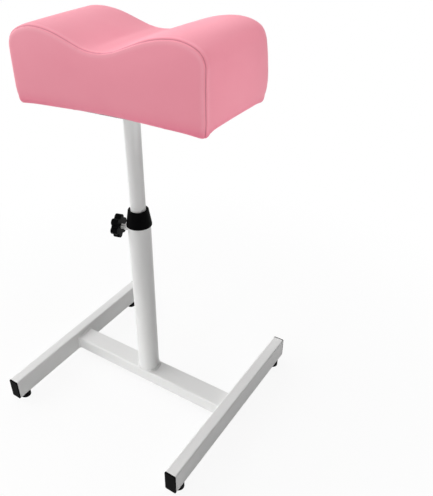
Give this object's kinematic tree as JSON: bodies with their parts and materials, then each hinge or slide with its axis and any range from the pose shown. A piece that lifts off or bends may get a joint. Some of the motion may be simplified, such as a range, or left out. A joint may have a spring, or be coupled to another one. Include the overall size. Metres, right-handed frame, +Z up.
{
  "type": "pedicure footrest",
  "caption": "Height-adjustable pedicure footrest: a saddle-shaped upholstered cushion on a telescopic post with a star-knob clamp, on a welded H-shaped tube base.",
  "frame": {"origin": "on the floor under the middle of the base, on the post's axis", "axes": "+X along the cross bar and the cushion to the right, +Y along the legs to the back, +Z up along the post"},
  "size_m": [0.375, 0.378, 0.6588],
  "materials": {
    "white_powder_coat": "satin",
    "black_plastic": "satin",
    "pink_vinyl": "satin",
    "foam": "matte",
    "plywood": "matte",
    "dust_cloth": "matte",
    "zinc_steel": "satin",
    "natural_nylon": "satin"
  },
  "bodies": {
    "base": {"left_leg": "white_powder_coat", "right_leg": "white_powder_coat", "cross_bar": "white_powder_coat", "left_bar_weld": "white_powder_coat", "right_bar_weld": "white_powder_coat", "lower_post": "white_powder_coat", "post_weld": "white_powder_coat", "clamp_boss": "white_powder_coat", "collar": "black_plastic", "front_left_cap": "black_plastic", "front_right_cap": "black_plastic", "back_left_cap": "black_plastic", "back_right_cap": "black_plastic", "front_left_foot": "black_plastic", "front_right_foot": "black_plastic", "back_left_foot": "black_plastic", "back_right_foot": "black_plastic"},
    "slider": {"post_slider": "black_plastic"},
    "seat": {"upper_post": "white_powder_coat", "mounting_plate": "white_powder_coat", "plate_weld": "white_powder_coat", "plate_screws": "zinc_steel", "base_board": "plywood", "foam_core": "foam", "cover_front_panel": "pink_vinyl", "cover_back_panel": "pink_vinyl", "cover_top_strip": "pink_vinyl", "dust_cover": "dust_cloth", "staples": "zinc_steel"},
    "pad": {"clamp_pad": "natural_nylon"},
    "knob": {"clamp_screw": "zinc_steel", "star_knob": "black_plastic"}
  },
  "joints": [
    {"name": "height_slide", "type": "slide", "parent": "base", "child": "slider", "axis": [0, 0, 1], "range_m": [-0.155, 0.1]},
    {"name": "seat_swivel", "type": "hinge", "parent": "slider", "child": "seat", "pos_m": [0, 0, 0.216], "axis": [0, 0, 1], "continuous": true},
    {"name": "clamp_travel", "type": "slide", "parent": "base", "child": "pad", "axis": [-0.9744, -0.225, 0], "range_m": [0, 0.0038]},
    {"name": "knob_turn", "type": "hinge", "parent": "pad", "child": "knob", "pos_m": [-0.02923, -0.00675, 0.34], "axis": [-0.9744, -0.225, 0], "range_deg": [0, 1080]}
  ],
  "couplings": [
    {"joint": "clamp_travel", "follows": "knob_turn", "m_per_rad": 0.00019894}
  ]
}
